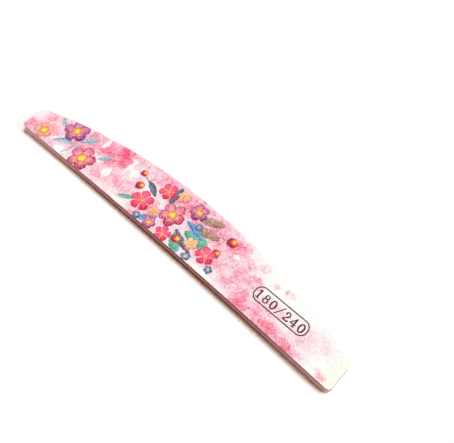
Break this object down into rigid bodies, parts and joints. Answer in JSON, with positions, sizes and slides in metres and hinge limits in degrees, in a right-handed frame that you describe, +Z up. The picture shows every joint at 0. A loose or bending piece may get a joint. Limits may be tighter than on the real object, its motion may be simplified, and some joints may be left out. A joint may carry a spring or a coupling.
{
  "type": "nail file",
  "caption": "Half-moon nail file for shaping nails by hand: a crowned laminate of two abrasive sheets on foam layers and a stiff plastic core, one face printed.",
  "frame": {"origin": "middle of the underside: the centre of the bounding box's lowest face", "axes": "+X along the length, +Y across the width towards the crowned edge, +Z up through the thickness towards the printed face"},
  "size_m": [0.178, 0.027, 0.005],
  "materials": {
    "printed_abrasive": "matt abrasive-coated paper, printed in pinks",
    "zebra_abrasive": "matt pale grey abrasive-coated paper with wavy streaks",
    "foam": "matt closed-cell foam, cut side",
    "core_plastic": "sawn plastic edge",
    "adhesive": "thin acrylic adhesive film"
  },
  "bodies": {
    "root": {"printed_abrasive_sheet": "printed_abrasive", "upper_sheet_adhesive": "adhesive", "upper_foam_layer": "foam", "upper_core_adhesive": "adhesive", "core_board": "core_plastic", "lower_core_adhesive": "adhesive", "lower_foam_layer": "foam", "lower_sheet_adhesive": "adhesive", "zebra_abrasive_sheet": "zebra_abrasive"}
  },
  "joints": []
}
